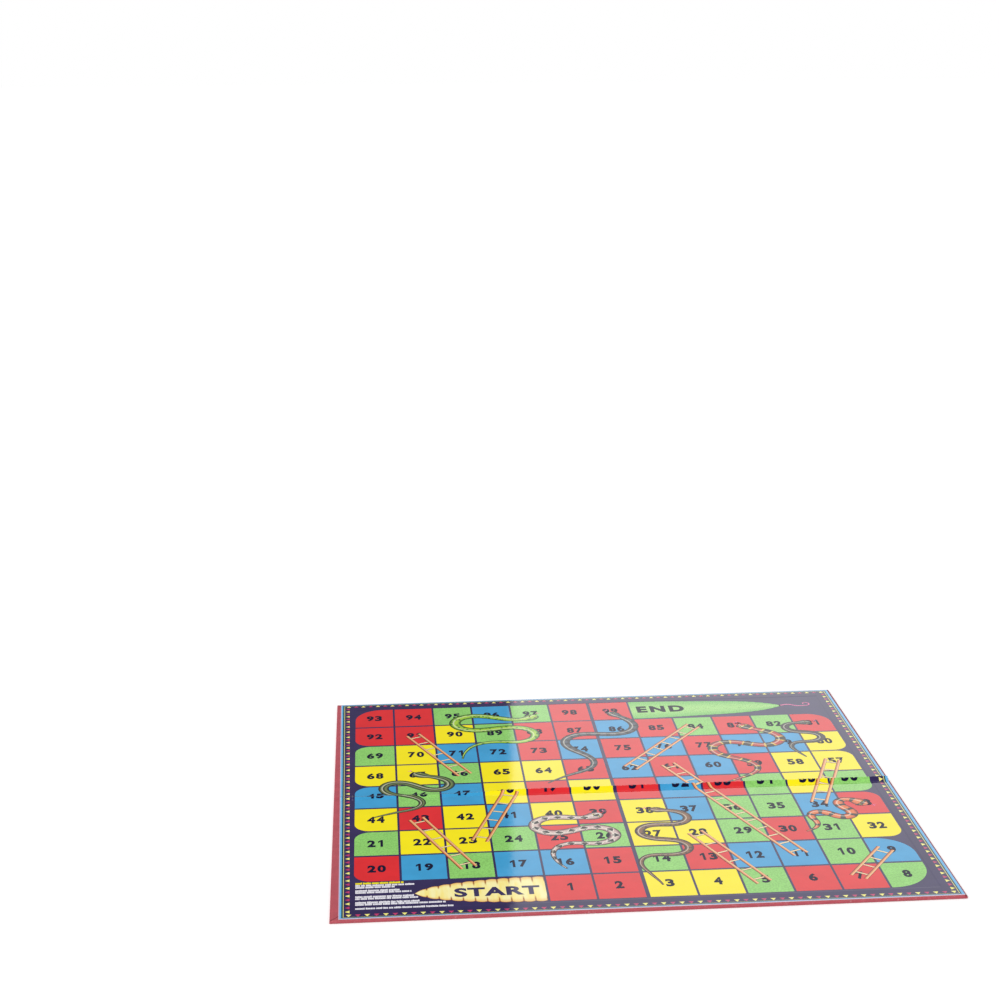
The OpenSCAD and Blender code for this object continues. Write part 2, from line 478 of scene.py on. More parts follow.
def wood_pole(name, light, middle, dark):
    """Ladder pole: lit along one side, dark along its edges, with grain."""
    sh = Shade(name)
    gloss_film(sh)
    along, aside, share, _ = sh.skin()
    base = sh.mix(sh.between(share, -0.9, 0.75), light, middle)
    base = sh.mix(sh.between(share, 0.35, 0.85), base, dark)
    base = sh.mix(sh.between(share, -0.70, -0.95), base, dark)
    grain = sh.node("ShaderNodeCombineXYZ", X=sh.times(along, 0.12), Y=sh.times(aside, 1.3))
    vein = sh.between(sh.noise(grain.outputs[0], 2.0, 3.0), 0.5, 0.75)
    return sh.colour(sh.mix(sh.times(vein, 0.4), base, dark, "MULTIPLY"))


def parchment(name):
    """Scroll of pale segments with brown joints between the scallops of its edge."""
    sh = Shade(name)
    gloss_film(sh)
    along, aside, share, _ = sh.skin()
    across = sh.absolute(share)
    fold = sh.node("ShaderNodeCombineXYZ", X=sh.times(along, 0.11), Y=sh.times(aside, 0.02))
    wave = sh.between(sh.noise(fold.outputs[0], 1.6, 2.0), 0.35, 0.7)
    base = sh.mix(wave, srgb(255, 247, 182), srgb(254, 234, 134))
    base = sh.mix(sh.times(sh.between(across, 0.66, 1.02), 0.75), base, srgb(240, 186, 104))
    turn = sh.math("FRACT", sh.math("MULTIPLY_ADD", along, SCALLOPS / START_LENGTH, 0.5))
    joint = sh.between(sh.absolute(sh.math("SUBTRACT", turn, 0.5)), 0.10, 0.03)
    return sh.colour(sh.mix(sh.times(joint, sh.between(across, 0.48, 0.85)), base, srgb(172, 108, 52)))


def leaf_green(name):
    """Leaf, darker towards its edges, with fine cells."""
    sh = Shade(name)
    gloss_film(sh)
    _, _, share, vector = sh.skin()
    base = sh.mix(sh.between(sh.absolute(share), 0.1, 1.0), srgb(172, 228, 132), srgb(134, 208, 108))
    cell = sh.times(sh.between(sh.cells(vector, 0.55), 0.14, 0.0), 0.45)
    return sh.colour(sh.mix(cell, base, srgb(70, 150, 70), "MULTIPLY"))


INKS = {
    "red": ink("ink_red", srgb(225, 42, 48), crest_wear_and_glint=True),
    "yellow": ink("ink_yellow", srgb(252, 235, 12), 0.02, crest_wear_and_glint=True),
    "blue": ink("ink_blue", srgb(62, 160, 212), crest_wear_and_glint=True),
    "green": ink("ink_green", srgb(150, 218, 114), speckle=0.42),
    "number": ink("ink_number", srgb(20, 16, 48), crest_wear_and_glint=True, ior=1.28),
    "word": ink("ink_word", srgb(58, 50, 92)),
    "magenta": ink("ink_magenta", srgb(196, 58, 108)),
    "pale_yellow": ink("ink_pale_yellow", srgb(252, 244, 132), 0.02),
    "stripe": ink("ink_stripe_blue", srgb(108, 184, 232)),
    "line_green": ink("ink_line_green", srgb(14, 70, 82)),
    "line_yellow": ink("ink_line_yellow", srgb(226, 218, 140)),
    "white": ink("ink_white", srgb(240, 238, 246), 0.02),
    # the paper's pale cut edge, with a painted highlight along it
    "edge_pale": ink("ink_edge_pale", srgb(206, 190, 214), 0.03),
    "outline": ink("ink_outline", srgb(40, 26, 30)),
    "rim_brown": ink("ink_rim_brown", srgb(150, 84, 44)),
    "parchment": parchment("ink_parchment"),
    "leaf": leaf_green("ink_leaf"),
    "leaf_dark": ink("ink_leaf_dark", srgb(38, 118, 62)),
    "pink": ink("ink_pink", srgb(226, 108, 160)),
    "pole": wood_pole("ink_pole", srgb(255, 208, 152), srgb(222, 120, 66), srgb(100, 36, 28)),
    "rung": ink("ink_rung", srgb(255, 224, 176)),
}
NAVY_SHEET = sheet_ink("ink_navy_sheet", True)
NAVY_CREASE = sheet_ink("ink_navy_crease", False)


# Squares
TURN_RADII = {("left", 8): 25.0, ("right", 7): 20.0, ("right", 1): 28.0, ("right", 0): 33.0}
PLAIN_TURN = 13.0                      # radius of the other corners where the path turns


def square_number(c, r):
    """Number of a square: rows run to and fro from the lower left."""
    if r == 0:
        return c - 3 if c >= 4 else None
    n = 9 + COLUMNS * (r - 1) + (c if r % 2 == 0 else COLUMNS - 1 - c)
    return n if n <= 99 else None


def square_ink(c, r):
    """Colour of a square, from a fixed mix in which red comes most often."""
    k = (7 * c + 9 * r + c * c * (r + 1) // 3 + 2 * r * r) % 10
    return "red" if k < 4 else "yellow" if k < 6 else "green" if k < 8 else "blue"


def square_sides(c, r):
    x0 = CELLS_X0 + CELL_W * c + (MID_GAP if c >= 6 else 0)
    x1 = x0 + CELL_W
    x0 += (MID_LINE - MID_GAP) / 2 if c == 6 else GRID_LINE / 2
    x1 -= (MID_LINE - MID_GAP) / 2 if c == 5 else GRID_LINE / 2
    s0 = grid_s(CELL_D * r) + (ROW1_RISE if r == 0 else ROW_LINE / 2)
    return x0, x1, s0, grid_s(CELL_D * (r + 1)) - ROW_LINE / 2


def turn_radius(side, r, upper):
    """Outer corners of the row ends, rounded where the path turns."""
    if side == "left":
        turns = (r >= 1) and (upper == (r % 2 == 0))
    else:
        turns = upper == (r % 2 == 1) and r < 8
    return TURN_RADII.get((side, r), PLAIN_TURN) if turns else 0.0


def corner(x, s, dx, ds, radius):
    """Corner of an outline, run anticlockwise; dx and ds point out of the square."""
    if not radius:
        return [(x, s)]
    start = {(-1, -1): 180, (1, -1): 270, (1, 1): 0, (-1, 1): 90}[(dx, ds)]
    cx, cs = x - dx * radius, s - ds * radius
    turns = [math.radians(start + a) for a in range(0, 91, 6)]
    return [(cx + radius * math.cos(a), cs + radius * math.sin(a)) for a in turns]


def squares():
    bm, inks = new_flat(), ["red", "yellow", "green", "blue"]
    for r in range(ROWS):
        for c in range(COLUMNS):
            if square_number(c, r) is None:
                continue
            x0, x1, s0, s1 = square_sides(c, r)
            side = {0: "left", COLUMNS - 1: "right"}.get(c)
            lower, upper = (turn_radius(side, r, up) if side else 0 for up in (False, True))
            left, right = side == "left", side == "right"
            loop = corner(x0, s0, -1, -1, left and lower) + corner(x1, s0, 1, -1, right and lower)
            loop += corner(x1, s1, 1, 1, right and upper) + corner(x0, s1, -1, 1, left and upper)
            add_outline(bm, loop, inks.index(square_ink(c, r)))
    film("print_squares", bm, [INKS[k] for k in inks], [1] * len(inks))


# Numbers and words
DIGIT_H, DIGIT_W, DIGIT_ADVANCE = 12.0, 6.6, 7.7
NUMBER_RISE = {0: 1.6, 4: 2.4}         # rows whose numbers stand above the middle of their squares
ONE = [(0.34, 0), (0.64, 0), (0.64, 1), (0.42, 1), (0.06, 0.82), (0.06, 0.58), (0.34, 0.74)]
ONE_MIDDLE = 0.42


def word_shape(text, bold, spacing=1.0):
    """Outline of a word in the plain built-in face, as points and faces in a unit box."""
    curve = bpy.data.curves.new("word", "FONT")
    curve.body, curve.size, curve.offset, curve.resolution_u = text, 1.0, bold, 4
    curve.space_character = spacing
    word = add_object("word", curve)
    graph = bpy.context.evaluated_depsgraph_get()
    mesh = bpy.data.meshes.new_from_object(word.evaluated_get(graph))
    points = np.array([v.co[:2] for v in mesh.vertices], float)
    faces = [tuple(p.vertices) for p in mesh.polygons]
    bpy.data.objects.remove(word)
    bpy.data.meshes.remove(mesh)
    bpy.data.curves.remove(curve)
    low, high = points.min(0), points.max(0)
    return (points - low) / (high - low), faces


def add_word(bm, shape, x, s, width, height, ink):
    points, faces = shape
    placed = [(x + (px - 0.5) * width, s + (py - 0.5) * height) for px, py in points]
    add_shape(bm, placed, faces, ink)


def numbers():
    bm = new_flat()
    shapes = {d: word_shape(d, 0.050) for d in "023456789"}
    for r in range(ROWS):
        for c in range(COLUMNS):
            n = square_number(c, r)
            if n is None:
                continue
            x0, x1, s0, s1 = square_sides(c, r)
            x, s, text = (x0 + x1) / 2, (s0 + s1) / 2 + NUMBER_RISE.get(r, 0.0), str(n)
            for i, d in enumerate(text):
                at = x + (i - (len(text) - 1) / 2) * DIGIT_ADVANCE
                if d == "1":
                    loop = [(at + (px - ONE_MIDDLE) * DIGIT_W, s + (py - 0.5) * DIGIT_H) for px, py in ONE]
                    add_outline(bm, loop, 0)
                else:
                    add_word(bm, shapes[d], at, s, DIGIT_W, DIGIT_H, 0)
    film("print_numbers", bm, [INKS["number"]], [2])


# Border
EDGE_LEFT, EDGE_FRONT = 0.7, 1.0       # pale edge that shows on the left and in front: the paper's cut edge, with a painted highlight along it
BLUE_IN = (-8.1, 453.9, -11.5, 406.1)   # inner sides of the lines: left, right, front and back
GREEN_IN = (-6.9, 452.8, -10.5, 405.2)
YELLOW_IN = (-6.4, 452.2, -10.2, 404.8)
TRIANGLES = (-3.75, 450.0, -8.2, 402.8)   # middles of the rows of triangles
TRIANGLE_HALF_W, TRIANGLE_HALF_H = 2.1, 1.7
PITCH_SIDE, PITCH_FRONT = 6.15, 6.8
INSET_SIDE, INSET_FRONT = 6.0, 1.0     # of a row's ends from the corners of its rectangle


def sheet_sides(rectangle):
    """Sides on the sheet of a rectangle counted from the lower left corner of the grid."""
    left, right, front, back = rectangle
    return CELLS_X0 + left, CELLS_X0 + right, grid_s(front), grid_s(back)


def add_ring(bm, outer, inner, ink):
    (a0, a1, c0, c1), (b0, b1, d0, d1) = sheet_sides(outer), sheet_sides(inner)
    points = [(a0, c0), (a1, c0), (a1, c1), (a0, c1), (b0, d0), (b1, d0), (b1, d1), (b0, d1)]
    add_shape(bm, points, [(0, 1, 5, 4), (1, 2, 6, 5), (2, 3, 7, 6), (3, 0, 4, 7)], ink)


def add_triangles(bm, start, end, out, pitch, colours):
    """Row of small triangles from start to end, pointing to the outside."""
    start, end, out = Vector(start), Vector(end), Vector(out)
    run = (end - start).normalized()
    count = round((end - start).length / pitch)
    step = (end - start) / count
    for i in range(count + 1):
        mid = start + step * i
        tip, base = mid + out * TRIANGLE_HALF_H, mid - out * TRIANGLE_HALF_H
        loop = [base + run * TRIANGLE_HALF_W, tip, base - run * TRIANGLE_HALF_W]
        add_outline(bm, [tuple(p) for p in loop], colours[i % 2])


def border():
    bm = new_flat()
    inks = ["stripe", "line_green", "line_yellow", "pale_yellow", "magenta", "edge_pale"]
    edge = (-CELLS_X0 - HALF_W + SHOW_LEFT[0], HALF_W - CELLS_X0 - SHOW_RIGHT[0],
            -CELLS_Y0 - HALF_D + SHOW_FRONT, HALF_D - CELLS_Y0 - SHOW_BACK)
    blue_out = (edge[0] + EDGE_LEFT, edge[1], edge[2] + EDGE_FRONT, edge[3])
    (a0, a1, c0, c1), (b0, _, d0, _) = sheet_sides(edge), sheet_sides(blue_out)
    # pale edge: the paper's cut edge, with a painted highlight along it
    pale = [(a0, c0), (a1, c0), (a1, d0), (b0, d0), (b0, c1), (a0, c1)]
    add_shape(bm, pale, [(0, 1, 2, 3), (0, 3, 4, 5)], inks.index("edge_pale"))
    add_ring(bm, blue_out, BLUE_IN, 0)
    add_ring(bm, BLUE_IN, GREEN_IN, 1)
    add_ring(bm, GREEN_IN, YELLOW_IN, 2)
    x0, x1, s0, s1 = sheet_sides(TRIANGLES)
    for x, out in ((x0, -1), (x1, 1)):
        ends = (x, s0 + INSET_SIDE), (x, s1 - INSET_SIDE)
        add_triangles(bm, *ends, (out, 0), PITCH_SIDE, (3, 4))
    for s, out in ((s0, -1), (s1, 1)):
        ends = (x0 + INSET_FRONT, s), (x1 - INSET_FRONT, s)
        add_triangles(bm, *ends, (0, out), PITCH_FRONT, (3, 4))
    for v in bm.verts:
        v.co.x += askew(v.co.x, v.co.y)
    film("print_border", bm, [INKS[k] for k in inks], [1] * len(inks))


# Strips that follow a line
def lengths_along(line):
    return np.concatenate([[0], np.cumsum(np.hypot(*np.diff(line, axis=0).T))])


def smooth_line(points, step=1.3):
    """Curve through the points, in even short steps."""
    pts = [Vector(p) for p in points]
    pts = [2 * pts[0] - pts[1]] + pts + [2 * pts[-1] - pts[-2]]
    dense = []
    for i in range(1, len(pts) - 2):
        a, b, c, d = pts[i - 1:i + 3]
        for k in range(24):
            t = k / 24
            dense.append(0.5 * (2 * b + (c - a) * t + (2 * a - 5 * b + 4 * c - d) * t * t
                                + (3 * b - a - 3 * c + d) * t ** 3))
    dense.append(pts[-2])
    dense = np.array([p[:2] for p in dense])
    run = lengths_along(dense)
    at = np.linspace(0, run[-1], max(3, int(run[-1] / step)))
    return np.stack([np.interp(at, run, dense[:, 0]), np.interp(at, run, dense[:, 1])], axis=1)


def add_strip(bm, line, half_widths, ink, across=6):
    """Strip along a line; its skin holds distance along, distance across and share across."""
    along = np.gradient(line, axis=0)
    along /= np.linalg.norm(along, axis=1)[:, None]
    side = np.stack([-along[:, 1], along[:, 0]], axis=1)
    run = lengths_along(line)
    points, skin, faces = [], [], []
    for i in range(len(line)):
        for k in range(across + 1):
            v = 2 * k / across - 1
            points.append(line[i] + side[i] * v * half_widths[i])
            skin.append((run[i], v * half_widths[i], v))
    row = across + 1
    for i in range(len(line) - 1):
        for k in range(across):
            a = i * row + k
            faces.append((a, a + row, a + row + 1, a + 1))
    add_shape(bm, points, faces, ink, skin)


# Ladders
LADDER_W, POLE_W, RUNG_W, RUNG_PITCH = 11.8, 3.0, 1.5, 15.5
POLE_END, RUNG_EDGE = 7.0, 0.3         # pole past the last rung, and the dark edge of a rung
LADDERS = [   # foot and top, in squares from the lower left corner of the grid
    ((8.45, 0.45), (7.42, 2.50)), ((10.45, 0.50), (11.38, 1.55)), ((2.45, 1.42), (1.40, 3.48)),
    ((9.50, 1.45), (7.42, 5.60)), ((2.75, 2.45), (3.62, 4.50)), ((10.50, 3.55), (11.42, 5.55)),
    ((2.62, 5.42), (1.45, 7.52)), ((6.50, 5.48), (8.45, 7.55)),
]


def ladders():
    bm = new_flat()
    inks = ["outline", "rung", "pole"]
    for foot, top in LADDERS:
        a, b = cell_point(foot), cell_point(top)
        length = float(np.hypot(*(b - a)))
        run = (b - a) / length
        aside = np.array([-run[1], run[0]]) * LADDER_W / 2
        runged = length - 2 * POLE_END
        count = max(3, round(runged / RUNG_PITCH))
        for i in range(count + 1):
            at = a + run * (POLE_END + runged * i / count)
            ends = np.array([at - aside, at + aside])
            add_strip(bm, ends, [RUNG_W / 2 + RUNG_EDGE] * 2, 0, 2)
            add_strip(bm, ends, [RUNG_W / 2] * 2, 1, 2)
        for sign in (-1, 1):
            steps = np.linspace(0, 1, max(4, int(length / 6)))[:, None]
            line = a + aside * sign + (b - a) * steps
            add_strip(bm, line, [POLE_W / 2] * len(line), 2, 4)
    film("print_ladders", bm, [INKS[k] for k in inks], [6, 7, 8])


# Snakes
SNAKES = [   # head, tail, waves, swing of the heading, phase, half width, skin
    ((9.62, 7.55), (8.42, 4.52), 1.75, 1.50, 0.6, 4.4, "rings"),
    ((4.62, 8.42), (2.62, 6.15), 1.50, 1.90, 3.3, 4.7, "lime"),
    ((1.42, 5.60), (0.42, 3.58), 1.75, 1.75, 0.7, 4.1, "olive"),
    ((5.55, 3.45), (4.55, 1.20), 1.60, 1.85, 3.5, 4.6, "diamonds"),
    ((6.45, 8.45), (4.50, 4.85), 1.75, 1.20, 0.9, 4.0, "slate"),
    ((11.45, 7.55), (10.85, 5.70), 1.70, 1.45, 3.9, 3.6, "black"),
    ((6.62, 3.55), (6.35, 0.45), 2.25, 1.50, 0.9, 3.4, "brown"),
    ((11.60, 3.42), (9.85, 2.35), 2.00, 1.45, 3.9, 4.6, "orange"),
]
SKINS = {   # back, side, dark, pattern, its period, and the third colour of two of them
    "rings": (srgb(206, 52, 46), srgb(150, 34, 40), srgb(26, 22, 24), "bands", 20, srgb(246, 206, 70)),
    "lime": (srgb(182, 220, 72), srgb(110, 170, 56), srgb(74, 130, 44), "spots", 12),
    "olive": (srgb(132, 146, 84), srgb(86, 108, 84), srgb(58, 74, 52), "stripe", 12),
    "diamonds": (srgb(226, 202, 194), srgb(178, 132, 132), srgb(40, 30, 34), "diamonds", 11,
                 srgb(250, 240, 228)),
    "slate": (srgb(84, 92, 104), srgb(52, 58, 74), srgb(26, 28, 38), "bars", 9),
    "black": (srgb(66, 60, 58), srgb(36, 32, 36), srgb(20, 18, 20), "stripe", 9),
    "brown": (srgb(142, 98, 66), srgb(96, 64, 50), srgb(58, 38, 32), "spots", 9),
    "orange": (srgb(248, 132, 62), srgb(226, 92, 46), srgb(46, 32, 34), "bars", 10),
}
BODY_EDGE, TONGUE_HALF_W = 0.6, 0.32
EYE_BACK, EYE_ASIDE, EYE_R, PUPIL_R = 1.25, 0.62, 0.24, 0.13      # in half widths of the body
TONGUE = ((0, 0), (3.0, 0.05), (4.6, 0.6), (6.2, 1.7))            # ahead and aside of the nose


def winding(head, tail, waves, swing, phase):
    """A snake's line from head to tail: its heading swings to and fro, as a river's does."""
    a, b = cell_point(head), cell_point(tail)
    t = np.linspace(0, 1, 400)
    calm = np.clip((1 - t) / 0.25, 0.35, 1)
    heading = swing * calm * np.sin(2 * np.pi * waves * t + phase)
    walk = np.cumsum(np.exp(1j * heading))
    walk = (walk - walk[0]) / (walk[-1] - walk[0]) * complex(*(b - a)) + complex(*a)
    return smooth_line(np.stack([walk.real, walk.imag], axis=1)[::9])


def body_widths(line, body):
    """Half width along a snake: rounded nose, head, neck, body and a long tail."""
    u = lengths_along(line)
    length = u[-1]
    nose = 2.0 * body
    keys = [(0, 1.28), (nose, 1.28), (nose * 1.9, 0.66), (nose * 3.4, 0.92), (length * 0.34, 1.0),
            (length * 0.60, 0.90), (length * 0.84, 0.46), (length, 0.05)]
    w = body * np.interp(u, [k[0] for k in keys], [k[1] for k in keys])
    return w * np.sqrt(1 - np.clip(1 - u / nose, 0, 1) ** 2.4) + 0.05


def add_disc(bm, centre, radius, ink, stretch=None):
    """Disc, or with a direction of stretch an oval that is longer that way."""
    loop = []
    for k in range(12):
        d = Vector((math.cos(k * math.pi / 6), math.sin(k * math.pi / 6))) * radius
        if stretch is not None:
            d = d + stretch * d.dot(stretch) * 0.6
        loop.append((centre[0] + d.x, centre[1] + d.y))
    add_outline(bm, loop, ink)


def snakes():
    bm = new_flat()
    skins = list(SKINS)
    inks = [INKS["outline"]] + [snake_skin(k, *SKINS[k]) for k in skins]
    inks += [INKS["line_yellow"], INKS["number"], INKS["pink"]]
    eye, pupil, tongue = len(skins) + 1, len(skins) + 2, len(skins) + 3
    for head, tail, waves, swing, phase, body, skin in SNAKES:
        line = winding(head, tail, waves, swing, phase)
        widths = body_widths(line, body)
        add_strip(bm, line, widths + BODY_EDGE, 0)
        add_strip(bm, line, widths, 1 + skins.index(skin), 8)
        ahead = Vector(line[0] - line[2]).normalized()
        nose = Vector(line[0])
        for sign in (-1, 1):
            aside = Vector((-ahead.y, ahead.x)) * sign
            at = nose - ahead * body * EYE_BACK + aside * body * EYE_ASIDE
            add_disc(bm, at, body * EYE_R, eye)
            add_disc(bm, at + ahead * 0.1, body * PUPIL_R, pupil, ahead)
            fork = smooth_line([tuple(nose + ahead * d + aside * k) for d, k in TONGUE], 0.7)
            add_strip(bm, fork, [TONGUE_HALF_W] * len(fork), tongue, 2)
    film("print_snakes", bm, inks, [3] + [4] * len(skins) + [5, 5, 5])


# Banners and small print
START_WORD = (CELLS_X0 + 108.3, grid_s(21.6), 64.5, 14.2)      # middle, width and height
END_WORD = (CELLS_X0 + 287.5, grid_s(373.4), 45.0, 15.4)
SCALLOP_H, SCROLL_INSET, SCROLL_RIM = 1.5, 1.9, 0.6
END_LENGTH, LEAF_RIM = 143.0, 0.5
RIB_AT, VEIN_AT, VEIN_PITCH, VEINS = 56.0, 60.0, 9.6, 8


def level_line(x0, x1, s, count):
    return np.stack([np.linspace(x0, x1, count), np.full(count, s)], axis=1)


def start_banner(bm, rim, body, word):
    """A torn parchment scroll that narrows to the left."""
    right = CELLS_X0 + 4 * CELL_W - GRID_LINE / 2
    low, high = grid_s(ROW1_RISE), grid_s(CELL_D - GRID_LINE / 2)
    t = np.linspace(0, 1, 133)
    line = level_line(right - START_LENGTH, right, (low + high) / 2, len(t))
    half = (high - low) / 2 * np.sin(np.pi / 2 * np.clip(t / 0.9, 0, 1)) ** 0.5
    scallop = SCALLOP_H * np.abs(np.sin(np.pi * t * SCALLOPS)) ** 0.7
    half = np.clip(half - SCROLL_INSET + scallop * np.clip(t * 9, 0, 1), 0.3, None)
    add_strip(bm, line, half + SCROLL_RIM, rim, 6)
    add_strip(bm, line, half, body, 10)
    add_word(bm, word_shape("START", 0.043, 1.10), *START_WORD, word)


def end_banner(bm, rim, body, tendril, word):
    """A long leaf with a tendril at the tip. Its rib and veins lie under its own film of ink."""
    left = CELLS_X0 + 7 * CELL_W + MID_GAP + GRID_LINE / 2
    tip, middle = left + END_LENGTH, grid_s(8.5 * CELL_D)
    t = np.linspace(0, 1, 100)
    line = level_line(left, tip, middle, len(t))
    half = (CELL_D - GRID_LINE) / 2 * (1 - 0.12 * np.sin(np.pi * t) ** 2)
    half = half * np.clip(1 - t ** 3.4, 0, 1) ** 0.8
    half = np.clip(half - 0.5 + 0.5 * ((t * 19) % 1) * np.clip(t * 3, 0, 1), 0.3, None)
    add_strip(bm, line, half + LEAF_RIM, rim, 6)
    add_strip(bm, line, half, body, 12)
    add_strip(bm, level_line(left + RIB_AT, tip - 1, middle, 12), np.linspace(0.75, 0.3, 12), rim, 2)
    for k in range(VEINS):
        root = VEIN_AT + VEIN_PITCH * k
        reach = 0.80 * float(np.interp(root + 6, t * END_LENGTH, half))
        for sign in (-1, 1):
            ways = ((0, 0), (5, reach * 0.55), (11.5, reach))
            vein = smooth_line([(left + root + x, middle + sign * s) for x, s in ways], 1.5)
            add_strip(bm, vein, np.linspace(0.42, 0.15, len(vein)), rim, 2)
    add_word(bm, word_shape("END", 0.054, 1.30), *END_WORD, word)
    curl = [(tip - 1.5 + 8.5 * k, middle + 2.6 * math.sin(k * 1.9)) for k in range(4)]
    cx, cs = curl[-1]
    for a in np.linspace(0.4, 5.4, 9):
        radius = 4.5 * (1 - a / 9)
        curl.append((cx + radius * math.sin(a), cs + 4.2 - radius * math.cos(a)))
    curl = smooth_line(curl, 1.0)
    add_strip(bm, curl, np.linspace(0.95, 0.45, len(curl)), tendril, 2)


def banners():
    bm = new_flat()
    inks = ["rim_brown", "parchment", "leaf_dark", "leaf", "word", "pink", "number"]
    start_banner(bm, 0, 1, 4)
    end_banner(bm, 2, 3, 5, 6)
    film("print_banners", bm, [INKS[k] for k in inks], [1, 2, 1, 2, 3, 2, 3])


HEADING = (40.6, 38.0)                 # depth and right end of a row of marks
MARK_ROWS = [
    (37.2, 47.0), (34.2, 31.0), (29.0, 35.0), (26.0, 44.0), (19.2, 45.0), (16.2, 48.0),
    (10.2, 49.0), (7.2, 68.0), (0.8, 75.0),
]
MARKS_LEFT, MARK_GAP, WORD_GAP = 2.0, 0.12, 0.6
HEADING_H, MARK_H = 3.1, 2.9
WORD_LENGTH, MARK_WIDTH = (3.0, 9.0), (0.75, 1.25)


def small_print():
    """Rules in the corner: pale marks in rows, with no letters."""
    bm = new_flat()
    draw = random.Random(7)
    for y, end in [HEADING] + MARK_ROWS:
        heading = (y, end) == HEADING
        x, s, height = MARKS_LEFT, grid_s(y), HEADING_H if heading else MARK_H
        while x < end:
            word = x + draw.uniform(*WORD_LENGTH)
            while x < min(word, end):
                width = draw.uniform(*MARK_WIDTH)
                top = s + height * draw.choice([0.86, 0.86, 0.86, 1.0])
                left, right = CELLS_X0 + x, CELLS_X0 + x + width
                add_outline(bm, [(left, s), (right, s), (right, top), (left, top)], int(heading))
                x += width + MARK_GAP
            x += WORD_GAP
    film("print_small_marks", bm, [INKS["white"], INKS["yellow"]], [1, 1])


# Crease and spine
def crease_sheet():
    """The sheet where it stands up over the gap."""
    bm = new_flat()
    x0, x1 = -HALF_W + sum(SHOW_LEFT) / 2, HALF_W - sum(SHOW_RIGHT) / 2
    add_outline(bm, [(x0, -HALF_ARC), (x1, -HALF_ARC), (x1, HALF_ARC), (x0, HALF_ARC)], 0)
    piece = film("crease_sheet", bm, [NAVY_CREASE], [0], -PAPER_T)["crease"]
    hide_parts("face_crease")


def paper_block(points, rows, x0, x1, y, low, high):
    """Closed strip of paper between two heights given for each y."""
    n, first = len(y), len(points)
    for x in (x0, x1):
        points += [(x, v, z) for v, z in zip(y, low)] + [(x, v, z) for v, z in zip(y, high)]
    a, b = first, first + 2 * n
    for i in range(n - 1):
        rows += [(a + i, a + i + 1, b + i + 1, b + i), (a + n + i, b + n + i, b + n + i + 1, a + n + i + 1),
                 (a + i, a + n + i, a + n + i + 1, a + i + 1), (b + i, b + i + 1, b + n + i + 1, b + n + i)]
    for i in (0, n - 1):
        quad = (a + i, b + i, b + n + i, a + n + i)
        rows.append(quad if i == 0 else quad[::-1])


def spine(material):
    """The wrap sheet under the gap: a shallow gutter, and turned-in ends that dip onto it."""
    y = np.linspace(-HALF_GAP, HALF_GAP, 29)
    rise = hump(y, GUTTER_H, HALF_GAP, 2 * CREST_R)
    points, rows = [], []
    paper_block(points, rows, -HALF_W, HALF_W, y, rise, rise + PAPER_T)
    high = RIM_Z - hump(y, DIP_H, HALF_GAP)
    low = np.maximum(high - PAPER_T * np.hypot(1, np.gradient(high, y)), rise + PAPER_T)
    for x0, x1 in ((-HALF_W, -HALF_W + TURN_IN), (HALF_W - TURN_IN, HALF_W)):
        paper_block(points, rows, x0, x1, y, low, high)
    for x0, x1 in ((-HALF_W, -HALF_W + PAPER_T), (HALF_W - PAPER_T, HALF_W)):
        for side in (y < 0, y > 0):
            part = side & (low - rise - PAPER_T > 0.03)
            paper_block(points, rows, x0, x1, y[part], rise[part] + PAPER_T, low[part])
    mesh = bpy.data.meshes.new("wrap_spine_paper")
    mesh.from_pydata((np.array(points) * MM).tolist(), [], rows)
    bm = bmesh.new()
    bm.from_mesh(mesh)
    bmesh.ops.recalc_face_normals(bm, faces=bm.faces[:])
    bm.to_mesh(mesh)
    bm.free()
    mesh.materials.append(material)
    piece = add_object("wrap_spine_paper", mesh)
    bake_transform(piece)
    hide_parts("wrap_spine")


